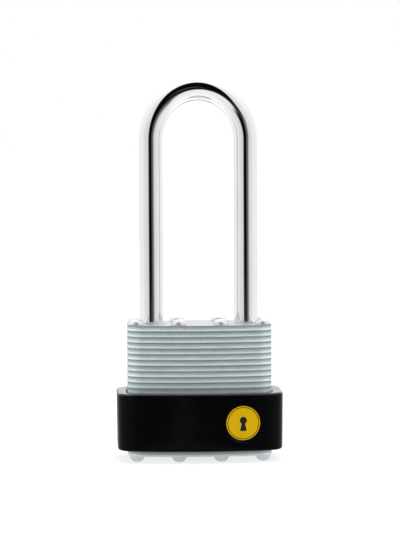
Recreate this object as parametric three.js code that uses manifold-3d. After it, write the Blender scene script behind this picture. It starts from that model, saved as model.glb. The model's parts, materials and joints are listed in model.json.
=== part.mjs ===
// Laminated-steel padlock with a long shackle and a moulded bumper band.
// A stack of riveted steel plates holds a pin-tumbler cylinder, two sliding locking levers and the shackle.
// Millimetres, +Z up, front face towards -Y. The origin is under the middle of the lock, level with the bottom rivet heads.
import * as THREE from "three";
import { mergeVertices } from "three/addons/utils/BufferGeometryUtils.js";
import Module from "manifold-3d";

// ---------------------------------------------------------------- driving dimensions
const BODY_W = 40.0;            // width of the plate stack
const BODY_D = 21.6;            // depth of the plate stack
const BODY_R = 4.5;             // plan corner radius of the plates
const BOW = 88.0;               // radius of the slightly bowed front and back
const PLATES = 23;              // number of laminations
const PITCH = 1.58;             // one lamination of the stack (1/16 inch sheet)
const PLATE_T = 1.54;           // thickness of a plate

const RIVET_X = [5.85, 17.5];   // rivet columns, both sides
const RIVET_Y = [7.2, 5.8];     // rivet rows follow the bowed front and back: inner, outer columns
const RIVET_SHANK = 1.4;        // shank radius
const RIVET_HOLE = 1.55;        // hole radius in the plates
const HEAD_R = 2.15;            // rivet head radius
const HEAD_LOW = 1.7;           // height of the bottom heads
const HEAD_TOP = 1.6;           // height of the top heads
const HEAD_FLAT = 0.7;          // small flat on each head

const BAR_R = 3.2;              // shackle bar radius (6.4 mm bar)
const LEG_X = 13.2;             // shackle legs, left and right of the middle
const CLEARANCE = 62.1;         // from the top plate to the inside of the bow
const BOW_RISE = 14.2;          // height of the bow's centre line over its ends, a little more than round
const BORE_R = 3.4;             // shackle bores
const LIFT = 14.0;              // travel of the shackle

const BUMPER_W = 46.0;          // moulded band round the lower half
const BUMPER_D = 27.6;
const BUMPER_R = 5.5;
const BUMPER_Z0 = 3.4;
const BUMPER_Z1 = 19.3;
const BUMPER_TOP_EDGE = 0.6;    // rounding of the upper rim
const BUMPER_LOW_EDGE = 0.5;    // rounding of the lower rim
const BUMPER_GAP = 0.15;        // clearance to the plates

const BADGE_X = 11.7;           // round badge on the front of the band
const BADGE_Z = 11.2;
const BADGE_R = 4.75;
const RECESS_R = 5.4;
const RECESS_DEPTH = 0.8;

const PLUG_R = 4.5;             // cylinder plug
const PLUG_FACE_R = 4.0;        // plug nose in the bottom plate
const PLUG_HOLE_R = 4.15;
const KEYWAY_W = 1.6;
const HOUSING_R = 6.25;         // cylinder housing
const CHAMBER_X = 11.2;         // end of the pin-chamber rib
const CHAMBER_HALF = 2.65;      // half width of the rib
const PIN_R = 1.1;
const PIN_HOLE_R = 1.25;
const PIN_Z = [6.2, 10.0, 13.8, 17.6];
const KEY_PIN_TIP = [1.0, 1.7, 0.7, 1.3]; // distance of each key pin's tip from the plug axis

const CAM_A = 2.9;              // cam half length
const CAM_B = 1.1;              // cam half width; CAM_A - CAM_B is the lever travel
const STEM_R = 2.0;
const LEVER_TRAVEL = CAM_A - CAM_B;
const LEVER_T = 1.4;
const LEVER_GAP = 0.3;          // play between the cam and the lever windows

// ---------------------------------------------------------------- levels derived from them
const Z0 = HEAD_LOW;                                  // underside of plate 1
const plateZ = (i) => Z0 + (i - 1) * PITCH;           // underside of plate i
const TOP = plateZ(PLATES) + PLATE_T;                 // top face of the stack
const LEVER_LOW = 18, LEVER_HIGH = 19;                // the two plates that hold the lever cavity
const LUG_PLATE = 22;                                 // its heel bore has the retaining lug
const BOW_Z = TOP + CLEARANCE - (BOW_RISE - BAR_R);    // where the legs end and the bow begins
const TOE_TIP = plateZ(16) + 0.3;
const HEEL_TIP = 17.9;
const FOOT_TOP = 20.75;                               // top of the full-diameter foot of the heel leg
const NOTCH_FLOOR = LEG_X - BAR_R + LEVER_TRAVEL;     // floor of the locking notches, from the middle

// ---------------------------------------------------------------- helpers
const wasm = await Module();
wasm.setup();

const circle = (cx, cy, r, n, turn = 0) =>
  Array.from({ length: n }, (_, k) => {
    const a = turn + (2 * Math.PI * k) / n;
    return new THREE.Vector2(cx + r * Math.cos(a), cy + r * Math.sin(a));
  });
// polygon whose flats touch the circle of radius r from outside
const around = (cx, cy, r, n, turn = 0) => circle(cx, cy, r / Math.cos(Math.PI / n), n, turn);

// the plan of the lock: flat sides, bowed front and back (n chords, the middle one flat and central), round corners
function bowedPlan(w, d, r, segs, bow, n) {
  const cx = w / 2 - r, by = d / 2 - bow, cy = by + Math.sqrt((bow - r) ** 2 - cx ** 2);
  const tilt = Math.atan2(cx, cy - by);                  // where the bow runs into the corner
  const xt = bow * Math.sin(tilt), flat = xt / n;        // half width of the middle chord
  const quarter = [];                                    // from the side of the lock to the middle of the front
  for (let k = 0; k <= segs; k++) {
    const a = ((Math.PI / 2 - tilt) * k) / segs;
    quarter.push([cx + r * Math.cos(a), cy + r * Math.sin(a)]);
  }
  for (let x = xt - 2 * flat; x > flat * 0.9; x -= 2 * flat) quarter.push([x, d / 2 - (x * x - flat * flat) / (2 * bow)]);
  const out = [];
  [[1, 1], [-1, 1], [-1, -1], [1, -1]].forEach(([sx, sy], q) => {
    const run = q % 2 ? [...quarter].reverse() : quarter;
    run.forEach(([x, y]) => out.push(new THREE.Vector2(sx * x, sy * y)));
  });
  return out;
}

// a flat piece: outline with holes, from z to z + t
function slab(outline, holes, z, t) {
  const s = new THREE.Shape(outline);
  holes.forEach((h) => s.holes.push(new THREE.Path(h)));
  const g = new THREE.ExtrudeGeometry(s, { depth: t, bevelEnabled: false });
  g.translate(0, 0, z);
  return g;
}

// a turned piece about the vertical axis, from [radius, z] pairs
function turned(profile, n) {
  const g = new THREE.LatheGeometry(profile.map(([r, z]) => new THREE.Vector2(r, z)), n);
  g.rotateX(Math.PI / 2);
  return g;
}

function boxGeo(x0, x1, y0, y1, z0, z1) {
  const g = new THREE.BoxGeometry(x1 - x0, y1 - y0, z1 - z0);
  g.translate((x0 + x1) / 2, (y0 + y1) / 2, (z0 + z1) / 2);
  return g;
}

function solid(geometry) {
  const g = geometry.clone();
  for (const name of Object.keys(g.attributes)) if (name !== "position") g.deleteAttribute(name);
  const m = mergeVertices(g, 1e-4);
  const tri = new Uint32Array(m.index.array);
  const make = (t) => new wasm.Manifold(new wasm.Mesh({ numProp: 3, vertProperties: new Float32Array(m.attributes.position.array), triVerts: t }));
  let s = make(tri);
  if (s.volume() < 0) {
    for (let i = 0; i < tri.length; i += 3) [tri[i + 1], tri[i + 2]] = [tri[i + 2], tri[i + 1]];
    s = make(tri);
  }
  return s;
}

function geometryOf(s) {
  const m = s.getMesh();
  const v = new Float32Array(m.numVert * 3);
  for (let i = 0; i < m.numVert; i++) v.set(m.vertProperties.subarray(i * m.numProp, i * m.numProp + 3), i * 3);
  const g = new THREE.BufferGeometry();
  g.setAttribute("position", new THREE.BufferAttribute(v, 3));
  g.setIndex(new THREE.BufferAttribute(new Uint32Array(m.triVerts), 1));
  g.computeVertexNormals();
  return g;
}

// a round coil spring along +Z, from z0 to z1
class Helix extends THREE.Curve {
  constructor(r, z0, z1, turns) {
    super();
    Object.assign(this, { r, z0, z1, turns });
  }
  getPoint(t, out = new THREE.Vector3()) {
    const a = 2 * Math.PI * this.turns * t;
    return out.set(this.r * Math.cos(a), this.r * Math.sin(a), this.z0 + (this.z1 - this.z0) * t);
  }
}
const coil = (outer, wire, length, turns, stepsPerTurn, sides) =>
  new THREE.ExtrudeGeometry(new THREE.Shape(circle(0, 0, wire, sides)), {
    steps: turns * stepsPerTurn,
    bevelEnabled: false,
    extrudePath: new Helix(outer - wire, wire, length - wire, turns),
  });

// ---------------------------------------------------------------- materials
const mat = (color, roughness, metalness) => new THREE.MeshStandardMaterial({ color, roughness, metalness, flatShading: true });
const zincSteel = () => mat(0xa9b4b6, 0.38, 0.9);
const rivetSteel = () => mat(0xd5dbe0, 0.25, 0.95);
const chrome = () => mat(0xe2e3e8, 0.08, 1.0);
const hardSteel = () => mat(0x8a8f94, 0.4, 0.9);
const brass = () => mat(0xb8913f, 0.35, 0.9);
const springSteel = () => mat(0x9c9fa3, 0.35, 0.9);
const blackVinyl = () => mat(0x060607, 0.22, 0.0);
const badgeYellow = () => mat(0xd0aa04, 0.4, 0.0);

const root = new THREE.Group();
const add = (name, geometry, material, parent = root) => {
  const m = new THREE.Mesh(geometry, material);
  m.name = name;
  parent.add(m);
  return m;
};

// ---------------------------------------------------------------- laminated body
const body = new THREE.Group();
root.add(body);

const bodyOutline = bowedPlan(BODY_W, BODY_D, BODY_R, 3, BOW, 5);
const rivetSpots = [];
for (const side of [-1, 1]) for (const [sx, k] of [[-1, 1], [-1, 0], [1, 0], [1, 1]]) rivetSpots.push([sx * RIVET_X[k], side * RIVET_Y[k]]);
const rivetHoles = () => rivetSpots.map(([x, y]) => circle(x, y, RIVET_HOLE, 6));
const heelBore = () => around(-LEG_X, 0, BORE_R, 12, Math.PI / 12);
const toeBore = () => around(LEG_X, 0, BORE_R, 12, Math.PI / 12);
const plugHole = () => around(0, 0, PLUG_HOLE_R, 16, Math.PI / 16);
const stemHole = () => around(0, 0, STEM_R + 0.25, 10);

// pocket for the cylinder housing: a round bore with a rib to the toe side
function housingOutline(r, half, end, n) {
  const a0 = Math.asin(half / r), out = [];
  for (let k = 0; k <= n; k++) {
    const a = a0 + ((2 * Math.PI - 2 * a0) * k) / n;
    out.push(new THREE.Vector2(r * Math.cos(a), r * Math.sin(a)));
  }
  out.push(new THREE.Vector2(end, -half), new THREE.Vector2(end, half));
  return out;
}

// heel bore with a flat lug on its outer side, which runs in the flat of the heel leg
const LUG_X = -LEG_X - BAR_R + 1.0 - 0.2;
function luggedBore() {
  const r = BORE_R / Math.cos(Math.PI / 12), a = Math.acos((LUG_X + LEG_X) / r), out = [];
  for (let k = 0; k <= 10; k++) {
    const b = -a + (2 * a * k) / 10;
    out.push(new THREE.Vector2(-LEG_X + r * Math.cos(b), r * Math.sin(b)));
  }
  return out;
}

// lever cavity, open at both ends into the shackle bores
function leverCavity() {
  const slot = 2.4, wideX = 6.6, wideY = 4.3;
  const r = BORE_R / Math.cos(Math.PI / 12), a = Math.asin(slot / r), out = [];
  const P = (x, y) => out.push(new THREE.Vector2(x, y));
  for (let k = 0; k <= 9; k++) {           // toe bore, from below the slot round to above it
    const b = -Math.PI + a + ((2 * Math.PI - 2 * a) * k) / 9;
    P(LEG_X + r * Math.cos(b), r * Math.sin(b));
  }
  P(wideX, slot); P(wideX, wideY); P(-wideX, wideY); P(-wideX, slot);
  for (let k = 0; k <= 9; k++) {           // heel bore
    const b = a + ((2 * Math.PI - 2 * a) * k) / 9;
    P(-LEG_X + r * Math.cos(b), r * Math.sin(b));
  }
  P(-wideX, -slot); P(-wideX, -wideY); P(wideX, -wideY); P(wideX, -slot);
  return out;
}

for (let i = 1; i <= PLATES; i++) {
  let holes;
  if (i === 1) holes = [plugHole()];
  else if (i <= 13) holes = [heelBore(), housingOutline(HOUSING_R + 0.2, CHAMBER_HALF + 0.2, CHAMBER_X + 0.6, 13)];
  else if (i <= 15) holes = [heelBore(), stemHole()];
  else if (i <= 17) holes = [heelBore(), toeBore(), stemHole()];
  else if (i <= LEVER_HIGH) holes = [leverCavity()];
  else if (i === LUG_PLATE) holes = [luggedBore(), toeBore()];
  else holes = [heelBore(), toeBore()];
  add("plate_" + String(i).padStart(2, "0"), slab(bodyOutline, [...holes, ...rivetHoles()], plateZ(i), PLATE_T), zincSteel(), body);
}

// eight rivets run through the whole stack
rivetSpots.forEach(([x, y], i) => {
  const shank = solid(slab(circle(0, 0, RIVET_SHANK, 6), [], 1.0, TOP + 0.6 - 1.0));
  const low = solid(turned([[0, 0], [HEAD_FLAT, 0], [1.45, 0.4], [1.92, 0.95], [HEAD_R, HEAD_LOW - 0.04], [0, HEAD_LOW - 0.04]], 10));
  const t = TOP + 0.04;
  const high = solid(turned([[0, t], [HEAD_R, t], [1.92, t + 0.85], [1.4, t + 1.3], [HEAD_FLAT, t + HEAD_TOP - 0.04], [0, t + HEAD_TOP - 0.04]], 10));
  const m = add("rivet_" + (i + 1), geometryOf(shank.add(low).add(high)), rivetSteel(), body);
  m.position.set(x, y, 0);
});

// ---------------------------------------------------------------- bumper band and badge
{
  const bevelled = (bevel, segs, z0, z1) => {
    const g = new THREE.ExtrudeGeometry(new THREE.Shape(bowedPlan(BUMPER_W, BUMPER_D, BUMPER_R, 5, BOW, 5)), {
      depth: z1 - z0 - 2 * bevel, bevelEnabled: true, bevelThickness: bevel, bevelSize: bevel, bevelOffset: -bevel, bevelSegments: segs,
    });
    g.translate(0, 0, z0 + bevel);
    return solid(g);
  };
  const outer = bevelled(BUMPER_TOP_EDGE, 3, BUMPER_Z0 - 6, BUMPER_Z1).intersect(bevelled(BUMPER_LOW_EDGE, 1, BUMPER_Z0, BUMPER_Z1 + 6));
  const inner = solid(slab(bowedPlan(BODY_W + 2 * BUMPER_GAP, BODY_D + 2 * BUMPER_GAP, BODY_R + BUMPER_GAP, 3, BOW, 5), [], BUMPER_Z0 - 1, BUMPER_Z1 - BUMPER_Z0 + 2));
  const recess = new THREE.ExtrudeGeometry(new THREE.Shape(circle(0, 0, RECESS_R, 24)), { depth: 5, bevelEnabled: false });
  const lean = Math.asin(BADGE_X / BOW);   // the badge lies in the bowed front, so it faces a little sideways
  const surfaceY = -BUMPER_D / 2 + BADGE_X ** 2 / (2 * BOW);
  const onFront = (g, depth) => {          // from the XY plane to a plane that deep under the front
    g.rotateX(Math.PI / 2);
    g.rotateZ(lean);
    g.translate(BADGE_X - depth * Math.sin(lean), surfaceY + depth * Math.cos(lean), BADGE_Z);
    return g;
  };
  onFront(recess, RECESS_DEPTH);
  add("bumper", geometryOf(outer.subtract(inner).subtract(solid(recess))), blackVinyl());
  const disc = new THREE.ExtrudeGeometry(new THREE.Shape(circle(0, 0, BADGE_R, 24)), { depth: 0.39, bevelEnabled: false });
  add("badge_disc", onFront(disc, RECESS_DEPTH - 0.03), badgeYellow());
}

// ---------------------------------------------------------------- shackle
{
  const BOW_STEPS = 16;
  class ShacklePath extends THREE.Curve {  // heel leg up, bow, toe leg down; one step on each leg
    at(u) {
      const k = Math.round(u * (BOW_STEPS + 2));
      if (k === 0) return [new THREE.Vector3(-LEG_X, 0, HEEL_TIP), new THREE.Vector3(0, 0, 1)];
      if (k === BOW_STEPS + 2) return [new THREE.Vector3(LEG_X, 0, TOE_TIP), new THREE.Vector3(0, 0, -1)];
      const a = (Math.PI * (k - 1)) / BOW_STEPS;
      return [new THREE.Vector3(-LEG_X * Math.cos(a), 0, BOW_Z + BOW_RISE * Math.sin(a)), new THREE.Vector3(LEG_X * Math.sin(a), 0, BOW_RISE * Math.cos(a)).normalize()];
    }
    getPoint(u) { return this.at(u)[0]; }
    getPointAt(u) { return this.at(u)[0]; }
    getTangent(u) { return this.at(u)[1]; }
    getTangentAt(u) { return this.at(u)[1]; }
  }
  const bar = solid(new THREE.ExtrudeGeometry(new THREE.Shape(circle(0, 0, BAR_R, 12)), { steps: BOW_STEPS + 2, bevelEnabled: false, extrudePath: new ShacklePath() }));
  const ring = (x, rIn, rOut, z0, z1, n = 12) => { const g = turned([[rIn, z0], [rOut, z0], [rOut, z1], [rIn, z1], [rIn, z0]], n); g.translate(x, 0, 0); return solid(g); };
  const chamfer = (x, z, c) => { const g = turned([[BAR_R - c, z - 0.2], [BAR_R + 1, z - 0.2], [BAR_R + 1, z + c + 0.3], [BAR_R, z + c], [BAR_R - c, z], [BAR_R - c, z - 0.2]], 12); g.translate(x, 0, 0); return solid(g); };
  const lowZ = plateZ(LEVER_LOW), highZ = plateZ(LEVER_HIGH);
  const shackle = bar
    .subtract(solid(boxGeo(LEG_X - BAR_R - 1, NOTCH_FLOOR, -5, 5, highZ - 0.2, highZ + PLATE_T + 0.25)))      // toe notch
    .subtract(solid(boxGeo(-NOTCH_FLOOR, -(LEG_X - BAR_R - 1), -5, 5, lowZ - 0.2, lowZ + PLATE_T + 0.25)))   // heel notch
    .subtract(solid(boxGeo(-LEG_X - BAR_R - 1, -LEG_X - BAR_R + 1.0, -5, 5, FOOT_TOP, plateZ(LUG_PLATE) + PLATE_T + 0.2))) // flat for the lug
    .subtract(ring(-LEG_X, BAR_R - 1.0, BAR_R + 1, FOOT_TOP, FOOT_TOP + PLATE_T + 0.3))                      // groove in which the raised shackle swings
    .subtract(chamfer(LEG_X, TOE_TIP, 0.8))
    .subtract(chamfer(-LEG_X, HEEL_TIP, 0.6));
  add("shackle", geometryOf(shackle), chrome());
  const spring = coil(2.9, 0.4, HEEL_TIP - 0.15 - (plateZ(1) + PLATE_T + 0.06), 7, 8, 4);
  add("shackle_spring", spring, springSteel()).position.set(-LEG_X, 0, plateZ(1) + PLATE_T + 0.06);
}

// ---------------------------------------------------------------- cylinder
const cylZ0 = plateZ(2) + 0.04, cylZ1 = plateZ(13) + PLATE_T - 0.1;
const cylinder = new THREE.Group();
root.add(cylinder);
const alongX = (g) => { g.rotateY(Math.PI / 2); return g; };   // +Z becomes +X
{
  const shell = solid(slab(housingOutline(HOUSING_R, CHAMBER_HALF, CHAMBER_X, 16), [around(0, 0, PLUG_R + 0.06, 16, Math.PI / 16)], cylZ0, cylZ1 - cylZ0));
  let s = shell;
  for (const z of PIN_Z) {
    const g = alongX(slab(circle(0, 0, PIN_HOLE_R, 8, Math.PI / 8), [], 0, CHAMBER_X - PLUG_R + 2));
    g.translate(PLUG_R - 1, 0, z);
    s = s.subtract(solid(g));
  }
  add("cylinder_housing", geometryOf(s), brass(), cylinder);
  add("chamber_cover", boxGeo(CHAMBER_X + 0.05, CHAMBER_X + 0.45, -2.3, 2.3, PIN_Z[0] - 2, PIN_Z[3] + 2), brass(), cylinder);
  PIN_Z.forEach((z, i) => {
    const driver = alongX(turned([[0, 0], [PIN_R - 0.2, 0], [PIN_R, 0.2], [PIN_R, 1.9], [0, 1.9]], 8));
    driver.translate(PLUG_R + 0.16, 0, z);
    add("driver_pin_" + (i + 1), driver, brass(), cylinder);
    const spring = alongX(coil(PIN_R - 0.05, 0.2, CHAMBER_X - 0.05 - (PLUG_R + 2.15), 5, 6, 3));
    spring.translate(PLUG_R + 2.15, 0, z);
    add("pin_spring_" + (i + 1), spring, springSteel(), cylinder);
  });
}

// the plug stands in its open position: its pins point to +Y
const plug = new THREE.Group();
cylinder.add(plug);
{
  const z1 = cylZ1 - 0.05, noseZ = Z0 + 0.25, shoulder = plateZ(1) + PLATE_T + 0.06;
  const g = turned([[0, noseZ], [PLUG_FACE_R, noseZ], [PLUG_FACE_R, shoulder], [PLUG_R, shoulder], [PLUG_R, z1], [0, z1]], 16);
  let s = solid(g)
    .subtract(solid(boxGeo(-KEYWAY_W / 2, KEYWAY_W / 2, -PLUG_R - 1, 2.0, Z0 - 1, z1 - 2.4)))     // keyway
    .subtract(solid(boxGeo(-PLUG_R - 1, PLUG_R + 1, -0.85, 0.85, z1 - 1.9, z1 + 1)));             // slot for the cam's tongue
  for (const z of PIN_Z) {
    const hole = slab(circle(0, 0, PIN_HOLE_R, 8, Math.PI / 8), [], 0, PLUG_R + 1);
    hole.rotateX(-Math.PI / 2);            // +Z becomes +Y
    hole.translate(0, 0, z);
    s = s.subtract(solid(hole));
  }
  add("cylinder_plug", geometryOf(s), brass(), plug);
  PIN_Z.forEach((z, i) => {
    const tip = KEY_PIN_TIP[i];
    const pin = turned([[0, tip], [0.35, tip], [PIN_R, tip + 0.6], [PIN_R, PLUG_R - 0.1], [0, PLUG_R - 0.1]], 8);
    pin.rotateX(-Math.PI / 2);
    pin.translate(0, 0, z);
    add("key_pin_" + (i + 1), pin, brass(), plug);
  });
  // cam on the plug's tail: tongue, stem, and an oval lobe between the levers
  const lobe = circle(0, 0, 1, 16).map((p) => new THREE.Vector2(p.x * CAM_A, p.y * CAM_B));
  const stemTop = plateZ(LEVER_LOW) + 0.05;
  const cam = solid(boxGeo(-2.6, 2.6, -0.7, 0.7, z1 - 1.75, z1 + 0.13))
    .add(solid(slab(circle(0, 0, STEM_R, 10), [], z1 + 0.06, stemTop - 0.03 - z1 - 0.06)))
    .add(solid(slab(lobe, [], stemTop - 0.05, plateZ(LEVER_HIGH) + PLATE_T - 0.08 - stemTop + 0.05)));
  add("cam", geometryOf(cam), hardSteel(), plug);
}

// ---------------------------------------------------------------- locking levers
{
  const nose = LEG_X - BAR_R - 0.25, halfNose = 2.2, halfFrame = 4.1, win = 3.15;
  const inner = CAM_A + LEVER_GAP;        // the window's wall that the cam draws
  const toeZ = plateZ(LEVER_HIGH) + 0.05, heelZ = plateZ(LEVER_LOW) + 0.05;
  const V = (pts) => pts.map(([x, y]) => new THREE.Vector2(x, y));
  const outline = V([[-inner - 1.2, -halfFrame], [4.6, -halfFrame], [4.6, -halfNose], [nose, -halfNose], [nose, halfNose], [4.6, halfNose], [4.6, halfFrame], [-inner - 1.2, halfFrame]]);
  const window = V([[-inner, -win], [-inner, win], [3.3, win], [3.3, -win]]);
  const toe = solid(slab(outline, [window], toeZ, LEVER_T))
    .add(solid(boxGeo(-inner - 1.2, -inner, -1.15, 1.15, heelZ + 0.15, toeZ + 0.5)));      // bent-down tail, seat of the spring
  add("toe_lever", geometryOf(toe), hardSteel());
  const mirrored = outline.map((p) => new THREE.Vector2(-p.x, p.y)).reverse();
  const seat = -nose + 1.9;               // far enough in for the spring to clear the heel leg when the lever is out
  const opening = V([[inner, -win], [inner, win], [-3.3, win], [-3.3, 1.35], [seat, 1.35], [seat, -1.35], [-3.3, -1.35], [-3.3, -win]]);
  add("heel_lever", slab(mirrored, [opening], heelZ, LEVER_T), hardSteel());
  const x0 = seat + 0.05, x1 = -inner - 1.2 - 0.05;
  const spring = alongX(coil(1.15, 0.2, x1 - x0, 5, 6, 3));
  spring.translate(x0, 0, plateZ(LEVER_HIGH));
  add("lever_spring", spring, springSteel());
}

export default root;
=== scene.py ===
import bpy
import json
import math
import random
import numpy as np
from mathutils import Matrix, Vector
from mathutils.geometry import tessellate_polygon
from mathutils.noise import noise as perlin


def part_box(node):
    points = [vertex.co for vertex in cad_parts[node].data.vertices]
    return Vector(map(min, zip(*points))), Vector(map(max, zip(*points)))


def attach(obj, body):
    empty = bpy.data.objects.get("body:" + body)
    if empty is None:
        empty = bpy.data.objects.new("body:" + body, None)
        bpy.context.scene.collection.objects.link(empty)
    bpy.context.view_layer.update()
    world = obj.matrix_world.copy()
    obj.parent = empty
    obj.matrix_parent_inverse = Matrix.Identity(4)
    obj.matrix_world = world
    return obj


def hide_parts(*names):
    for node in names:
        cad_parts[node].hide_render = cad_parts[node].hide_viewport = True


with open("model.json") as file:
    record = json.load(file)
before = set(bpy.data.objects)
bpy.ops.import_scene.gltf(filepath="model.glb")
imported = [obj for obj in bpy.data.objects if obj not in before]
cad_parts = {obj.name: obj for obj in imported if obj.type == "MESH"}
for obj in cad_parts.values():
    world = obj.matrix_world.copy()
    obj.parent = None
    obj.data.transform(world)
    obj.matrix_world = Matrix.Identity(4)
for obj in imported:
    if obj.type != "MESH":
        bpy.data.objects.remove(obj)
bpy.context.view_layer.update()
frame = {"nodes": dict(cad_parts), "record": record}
NODES = frame["nodes"]
MM = 0.001

# ------------------------------------------------------------------ sizes, mm (the same as the solid model)
BODY_W, BODY_D, BODY_R, BOW = 40.0, 21.6, 4.5, 88.0
PLATES, PITCH, PLATE_T = 23, 1.58, 1.54
Z0 = 1.7
TOP = Z0 + (PLATES - 1) * PITCH + PLATE_T
RIVET_X, RIVET_Y = (5.85, 17.5), (7.2, 5.8)
HEAD_R = 2.15
BUMPER_W, BUMPER_D, BUMPER_R = 46.0, 27.6, 5.5
BUMPER_Z0, BUMPER_Z1 = 3.4, 19.3
BADGE_X, BADGE_Z, BADGE_R, RECESS_R, RECESS_DEPTH = 11.7, 11.2, 4.75, 5.4, 0.8
BOW_RISE = 14.2
HEAD_LOW, HEAD_TOP = 1.7, 1.6


def plate_z(i):
    return Z0 + (i - 1) * PITCH


def centre(node):
    lo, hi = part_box(node)
    return (lo + hi) / 2


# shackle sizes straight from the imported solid, so that they follow it
_lo, _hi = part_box("shackle")
BAR_R = (_hi.y - _lo.y) / 2 * 1000
LEG_X = _hi.x * 1000 - BAR_R
SHACKLE_TOP = _hi.z * 1000
HEEL_TIP = _lo.z * 1000
BOW_Z = SHACKLE_TOP - BAR_R - BOW_RISE
TOE_TIP = plate_z(16) + 0.3
FOOT_TOP = 20.75
NOTCH_AXIS = 1.4           # from the leg's axis to the floor of its notch


# ------------------------------------------------------------------ mesh helpers
def make(name, verts, faces, sharp=32, body=None, replaces=(), material=None, scale=MM):
    me = bpy.data.meshes.new(name)
    me.from_pydata([tuple(scale * c for c in v) for v in verts], [], faces)
    me.validate()
    me.update()
    me.polygons.foreach_set("use_smooth", [True] * len(me.polygons))
    if sharp is not None:
        me.set_sharp_from_angle(angle=math.radians(sharp))
    o = bpy.data.objects.new(name, me)
    bpy.context.scene.collection.objects.link(o)
    if material:
        me.materials.append(material)
    if body:
        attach(o, body)
    if replaces:
        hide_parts(*replaces)
    return o


def bowed_plan(inset=0.0, w=BODY_W, d=BODY_D, r=BODY_R, bow=BOW, corner=12, front=36, side=4):
    """Plan outline, counter-clockwise from above: flat sides, bowed front and back, round corners.
    An inset keeps the number of points, so rings of different inset join up."""
    w, d, r, bow = w - 2 * inset, d - 2 * inset, r - inset, bow - inset
    cx, by = w / 2 - r, d / 2 - bow
    cy = by + math.sqrt((bow - r) ** 2 - cx ** 2)
    tilt = math.atan2(cx, cy - by)
    pts = []
    for k in range(side):                              # right side, upwards in y
        pts.append((w / 2, -cy + 2 * cy * k / side))
    for k in range(corner):                            # back right corner
        a = (math.pi / 2 - tilt) * k / corner
        pts.append((cx + r * math.cos(a), cy + r * math.sin(a)))
    for k in range(front):                             # back
        a = tilt - 2 * tilt * k / front
        pts.append((bow * math.sin(a), by + bow * math.cos(a)))
    for k in range(corner):
        a = math.pi / 2 + tilt + (math.pi / 2 - tilt) * k / corner
        pts.append((-cx + r * math.cos(a), cy + r * math.sin(a)))
    half = pts[side:]
    for k in range(side):                              # left side
        pts.append((-w / 2, cy - 2 * cy * k / side))
    pts += [(-x, -y) for x, y in half]
    return pts


def circle(cx, cy, r, n, turn=0.0):
    return [(cx + r * math.cos(turn + 2 * math.pi * k / n), cy + r * math.sin(turn + 2 * math.pi * k / n)) for k in range(n)]


def offset_ring(points, d):
    """A closed outline moved outwards by d along its vertex normals (small d only)."""
    n, out = len(points), []
    area = sum(points[i][0] * points[(i + 1) % n][1] - points[(i + 1) % n][0] * points[i][1] for i in range(n))
    s = 1 if area > 0 else -1
    for i in range(n):
        x0, y0 = points[i - 1]
        x1, y1 = points[i]
        x2, y2 = points[(i + 1) % n]
        ax, ay, bx, by = x1 - x0, y1 - y0, x2 - x1, y2 - y1
        la, lb = math.hypot(ax, ay) or 1, math.hypot(bx, by) or 1
        nx, ny = ay / la + by / lb, -ax / la - bx / lb
        ln = math.hypot(nx, ny) or 1
        c = max(0.5, (ay / la * nx - ax / la * ny) / ln)
        out.append((x1 + s * d * nx / ln / c, y1 + s * d * ny / ln / c))
    return out


def slab(outer_rings, holes, z0, t, edge=0.08):
    """A flat piece from a list of (outline, z) rings going up its outside, with holes given as outlines.
    The caps are flat, the holes have a small chamfer at both faces."""
    verts, faces = [], []

    def ring(pts, z):
        s = len(verts)
        verts.extend((x, y, z) for x, y in pts)
        return s

    def wall(a, b, n, flip=False):
        for k in range(n):
            q = (a + k, a + (k + 1) % n, b + (k + 1) % n, b + k)
            faces.append(q[::-1] if flip else q)

    starts = [ring(p, z) for p, z in outer_rings]
    n = len(outer_rings[0][0])
    for a, b in zip(starts, starts[1:]):
        wall(a, b, n)
    hole_ends = []
    for h in holes:
        wide = offset_ring(h, edge)
        levels = [(wide, z0), (h, z0 + edge), (h, z0 + t - edge), (wide, z0 + t)]
        rs = [ring(p, z) for p, z in levels]
        for a, b in zip(rs, rs[1:]):
            wall(a, b, len(h), flip=True)
        hole_ends.append((rs[0], rs[-1], len(h)))
    for which, z, up in ((0, z0, False), (1, z0 + t, True)):
        loops = [[starts[0 if which == 0 else -1] + k for k in range(n)]]
        for a, b, m in hole_ends:
            loops.append([(a, b)[which] + k for k in range(m)])
        flat = [i for lp in loops for i in lp]
        tris = tessellate_polygon([[Vector((verts[i][0], verts[i][1], 0)) for i in lp] for lp in loops])
        for tri in tris:
            a, b, c = (flat[i] for i in tri)
            (ax, ay, _), (bx, by, _), (cx, cy, _) = verts[a], verts[b], verts[c]
            ccw = (bx - ax) * (cy - ay) - (cx - ax) * (by - ay) > 0
            faces.append((a, b, c) if ccw == up else (a, c, b))
    return verts, faces


def revolve(profile, n, at=(0, 0), wobble=None):
    """A turned piece about a vertical axis; the profile starts and ends on the axis and goes up its outside."""
    verts, faces, rows = [], [], []
    for r, z in profile:
        if r < 1e-6:
            rows.append((len(verts), 1))
            verts.append((at[0], at[1], z))
        else:
            rows.append((len(verts), n))
            for k in range(n):
                a = 2 * math.pi * k / n
                rr = r * (1 + (wobble(a, z) if wobble else 0))
                verts.append((at[0] + rr * math.cos(a), at[1] + rr * math.sin(a), z))
    for (a, na), (b, nb) in zip(rows, rows[1:]):
        for k in range(n):
            k1 = (k + 1) % n
            if na == 1 and nb == 1:
                continue
            if na == 1:
                faces.append((a, b + k1, b + k))
            elif nb == 1:
                faces.append((a + k, a + k1, b))
            else:
                faces.append((a + k, a + k1, b + k1, b + k))
    return verts, faces


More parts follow.
